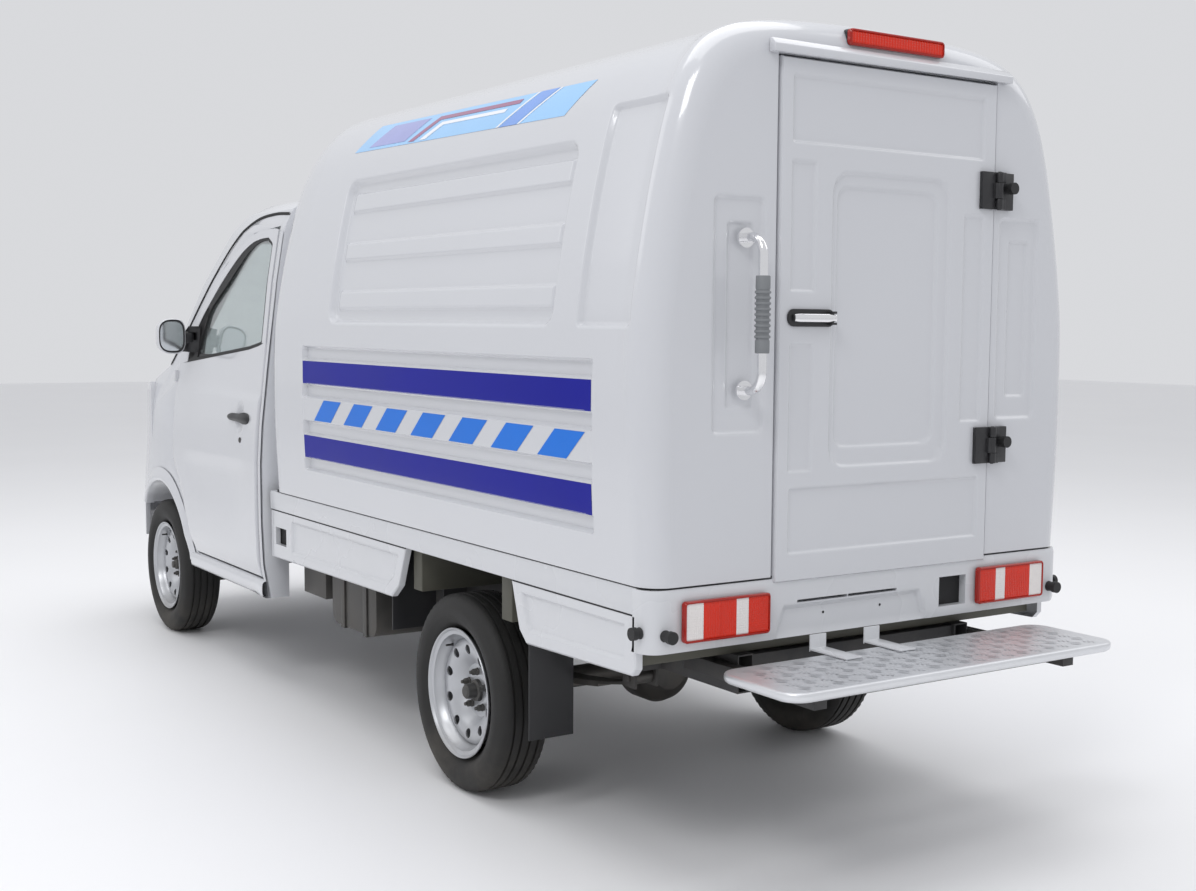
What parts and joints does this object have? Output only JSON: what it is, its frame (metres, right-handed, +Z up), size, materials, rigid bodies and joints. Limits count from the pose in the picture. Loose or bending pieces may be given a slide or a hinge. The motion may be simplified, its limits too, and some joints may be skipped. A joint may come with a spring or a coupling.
{
  "type": "mail delivery truck",
  "caption": "Small postal delivery truck with a cab, a moulded cargo body with a hinged rear door, a rear step, opening doors and sprung, steered wheels.",
  "frame": {"origin": "on the ground, at the centre of the truck's footprint", "axes": "+Z up, -Y towards the front of the truck, +X towards its left side"},
  "size_m": [1.746, 4.935, 2.168],
  "materials": {
    "frame_paint": "chassis black",
    "deck_boards": "painted white",
    "white_paint": "gloss white",
    "white_moulding": "gloss white moulding",
    "black_plastic": "grained black",
    "lens": "clear moulded red",
    "rubber": "matte",
    "chrome": "bright",
    "grip": "ribbed grey",
    "tread_plate": "chequered",
    "glass": "clear tint",
    "lamp_glass": "clear",
    "trim": "grained grey",
    "seat_cloth": "woven grey",
    "cast": "as cast",
    "steel": "machined",
    "spring_steel": "black",
    "olive": "olive undercoat",
    "wheel_silver": "silver lacquer",
    "tyre": "rubber"
  },
  "bodies": {
    "truck": {"chassis_frame": "frame_paint", "deck_platform": "deck_boards", "side_skirts": "white_paint", "rear_valance": "white_paint", "tail_lamp_housings": "black_plastic", "lamp_lenses": "lens", "rubber_buffers": "rubber", "cargo_body": "white_moulding", "door_seal": "rubber", "drip_rail": "white_paint", "body_hinge_leaves": "black_plastic", "grab_handle": "chrome", "handle_grip": "grip", "step_plate": "tread_plate", "step_brackets": "frame_paint", "cab_shell": "white_moulding", "cab_glass": "glass", "front_bumper": "white_moulding", "headlamps": "lamp_glass", "dashboard": "trim", "seats": "seat_cloth", "powertrain": "cast", "wheel_arch_liners": "olive", "suspension_springs": "spring_steel"},
    "rear_door": {"rear_door_panel": "white_moulding", "door_hardware": "black_plastic"},
    "lock_lever": {"latch_lever": "chrome"},
    "lock_bolt": {"latch_bolt": "steel"},
    "left_door": {"left_cab_door": "white_moulding"},
    "right_door": {"right_cab_door": "white_moulding"},
    "left_glass": {"left_door_glass": "glass"},
    "right_glass": {"right_door_glass": "glass"},
    "left_handle": {"left_door_handle": "black_plastic"},
    "right_handle": {"right_door_handle": "black_plastic"},
    "left_mirror": {"left_mirror": "white_moulding"},
    "right_mirror": {"right_mirror": "white_moulding"},
    "steering_wheel": {"steering_wheel": "black_plastic"},
    "steering_rack": {"steering_rack": "steel"},
    "left_strut": {"left_strut": "frame_paint"},
    "right_strut": {"right_strut": "frame_paint"},
    "left_knuckle": {"left_knuckle": "steel"},
    "right_knuckle": {"right_knuckle": "steel"},
    "front_left_wheel": {"rim_front_left": "wheel_silver", "tyre_front_left": "tyre"},
    "front_right_wheel": {"rim_front_right": "wheel_silver", "tyre_front_right": "tyre"},
    "rear_left_wheel": {"rim_rear_left": "wheel_silver", "tyre_rear_left": "tyre"},
    "rear_right_wheel": {"rim_rear_right": "wheel_silver", "tyre_rear_right": "tyre"},
    "rear_axle": {"rear_axle": "frame_paint"},
    "propshaft": {"propshaft": "steel"},
    "bonnet": {"bonnet": "white_moulding"},
    "gear_lever": {"gear_lever": "black_plastic"},
    "handbrake": {"handbrake_lever": "black_plastic"},
    "left_wiper": {"left_wiper": "black_plastic"},
    "right_wiper": {"right_wiper": "black_plastic"},
    "clutch_pedal": {"clutch_pedal": "black_plastic"},
    "brake_pedal": {"brake_pedal": "black_plastic"},
    "accelerator_pedal": {"accelerator_pedal": "black_plastic"}
  },
  "joints": [
    {"name": "rear_door_swing", "type": "hinge", "parent": "truck", "child": "rear_door", "pos_m": [-0.405, 2.1365, 1.4], "axis": [0, 0, 1], "range_deg": [0, 135]},
    {"name": "lock_lever_pull", "type": "hinge", "parent": "rear_door", "child": "lock_lever", "pos_m": [0.186, 2.1385, 1.417], "axis": [0, 0, 1], "range_deg": [0, 40], "stiffness_Nm_per_rad": 1, "springref_deg": -11.46},
    {"name": "lock_bolt_draw", "type": "slide", "parent": "rear_door", "child": "lock_bolt", "axis": [-1, 0, 0], "range_m": [0, 0.016]},
    {"name": "left_door_swing", "type": "hinge", "parent": "truck", "child": "left_door", "pos_m": [0.735, -1.5645, 0.9], "axis": [0, 0, -1], "range_deg": [0, 65]},
    {"name": "right_door_swing", "type": "hinge", "parent": "truck", "child": "right_door", "pos_m": [-0.735, -1.5645, 0.9], "axis": [0, 0, 1], "range_deg": [0, 65]},
    {"name": "left_window_drop", "type": "slide", "parent": "left_door", "child": "left_glass", "axis": [0.1119, 0, -0.9937], "range_m": [0, 0.3]},
    {"name": "right_window_drop", "type": "slide", "parent": "right_door", "child": "right_glass", "axis": [-0.1119, 0, -0.9937], "range_m": [0, 0.3]},
    {"name": "left_handle_pull", "type": "hinge", "parent": "left_door", "child": "left_handle", "pos_m": [0.726, -0.7225, 1.036], "axis": [0, -1, 0], "range_deg": [0, 30], "stiffness_Nm_per_rad": 0.5, "springref_deg": -17.19},
    {"name": "right_handle_pull", "type": "hinge", "parent": "right_door", "child": "right_handle", "pos_m": [-0.726, -0.7225, 1.036], "axis": [0, 1, 0], "range_deg": [0, 30], "stiffness_Nm_per_rad": 0.5, "springref_deg": -17.19},
    {"name": "left_mirror_fold", "type": "hinge", "parent": "left_door", "child": "left_mirror", "pos_m": [0.731, -1.3575, 1.33], "axis": [0, 0, 1], "range_deg": [0, 60]},
    {"name": "right_mirror_fold", "type": "hinge", "parent": "right_door", "child": "right_mirror", "pos_m": [-0.731, -1.3575, 1.33], "axis": [0, 0, -1], "range_deg": [0, 60]},
    {"name": "steering_wheel_turn", "type": "hinge", "parent": "truck", "child": "steering_wheel", "pos_m": [0.34, -1.3325, 1.08], "axis": [0, 0.866, 0.5], "range_deg": [-540, 540]},
    {"name": "rack_travel", "type": "slide", "parent": "truck", "child": "steering_rack", "axis": [1, 0, 0], "range_m": [-0.056, 0.056]},
    {"name": "left_strut_travel", "type": "slide", "parent": "truck", "child": "left_strut", "axis": [0, 0, 1], "range_m": [-0.05, 0.05], "stiffness_N_per_m": 24000, "springref_m": -0.1},
    {"name": "right_strut_travel", "type": "slide", "parent": "truck", "child": "right_strut", "axis": [0, 0, 1], "range_m": [-0.05, 0.05], "stiffness_N_per_m": 24000, "springref_m": -0.1},
    {"name": "left_steer", "type": "hinge", "parent": "left_strut", "child": "left_knuckle", "pos_m": [0.6, -1.7775, 0.297], "axis": [0, 0, 1], "range_deg": [-30, 30]},
    {"name": "right_steer", "type": "hinge", "parent": "right_strut", "child": "right_knuckle", "pos_m": [-0.6, -1.7775, 0.297], "axis": [0, 0, 1], "range_deg": [-30, 30]},
    {"name": "front_left_wheel_spin", "type": "hinge", "parent": "left_knuckle", "child": "front_left_wheel", "pos_m": [0.652, -1.7775, 0.297], "axis": [1, 0, 0], "continuous": true},
    {"name": "rear_left_wheel_spin", "type": "hinge", "parent": "rear_axle", "child": "rear_left_wheel", "pos_m": [0.63, 1.0675, 0.297], "axis": [1, 0, 0], "continuous": true},
    {"name": "front_right_wheel_spin", "type": "hinge", "parent": "right_knuckle", "child": "front_right_wheel", "pos_m": [-0.652, -1.7775, 0.297], "axis": [1, 0, 0], "continuous": true},
    {"name": "rear_right_wheel_spin", "type": "hinge", "parent": "rear_axle", "child": "rear_right_wheel", "pos_m": [-0.63, 1.0675, 0.297], "axis": [1, 0, 0], "continuous": true},
    {"name": "rear_axle_travel", "type": "slide", "parent": "truck", "child": "rear_axle", "axis": [0, 0, 1], "range_m": [-0.05, 0.05], "stiffness_N_per_m": 60000, "springref_m": -0.1, "deforming": ["suspension_springs"]},
    {"name": "propshaft_spin", "type": "hinge", "parent": "truck", "child": "propshaft", "pos_m": [0, 0.0675, 0.305], "axis": [0, 1, 0], "continuous": true},
    {"name": "bonnet_lift", "type": "hinge", "parent": "truck", "child": "bonnet", "pos_m": [0, -1.9725, 1.132], "axis": [-1, 0, 0], "range_deg": [0, 60]},
    {"name": "gear_shift", "type": "hinge", "parent": "truck", "child": "gear_lever", "pos_m": [0, -1.1725, 0.6083], "axis": [1, 0, 0], "range_deg": [-10, 10]},
    {"name": "handbrake_pull", "type": "hinge", "parent": "truck", "child": "handbrake", "pos_m": [-0.08, -0.7225, 0.72], "axis": [-1, 0, 0], "range_deg": [0, 28]},
    {"name": "left_wiper_sweep", "type": "hinge", "parent": "truck", "child": "left_wiper", "pos_m": [0.06, -1.9045, 1.095], "axis": [0, -0.6157, 0.788], "range_deg": [0, 85]},
    {"name": "right_wiper_sweep", "type": "hinge", "parent": "truck", "child": "right_wiper", "pos_m": [-0.4, -1.9045, 1.095], "axis": [0, -0.6157, 0.788], "range_deg": [0, 85]},
    {"name": "clutch_pedal_press", "type": "hinge", "parent": "truck", "child": "clutch_pedal", "pos_m": [0.368, -1.6125, 0.86], "axis": [-1, 0, 0], "range_deg": [0, 12], "stiffness_Nm_per_rad": 12, "springref_deg": -17.19},
    {"name": "brake_pedal_press", "type": "hinge", "parent": "truck", "child": "brake_pedal", "pos_m": [0.29, -1.6125, 0.86], "axis": [-1, 0, 0], "range_deg": [0, 12], "stiffness_Nm_per_rad": 12, "springref_deg": -17.19},
    {"name": "accelerator_pedal_press", "type": "hinge", "parent": "truck", "child": "accelerator_pedal", "pos_m": [0.216, -1.6125, 0.86], "axis": [-1, 0, 0], "range_deg": [0, 12], "stiffness_Nm_per_rad": 12, "springref_deg": -17.19}
  ],
  "couplings": [
    {"joint": "lock_bolt_draw", "follows": "lock_lever_pull", "m_per_rad": 0.02},
    {"joint": "steering_wheel_turn", "follows": "left_steer", "ratio": 17.9},
    {"joint": "right_steer", "follows": "left_steer", "ratio": 1},
    {"joint": "rack_travel", "follows": "left_steer", "m_per_rad": -0.105},
    {"joint": "right_wiper_sweep", "follows": "left_wiper_sweep", "ratio": 1}
  ]
}
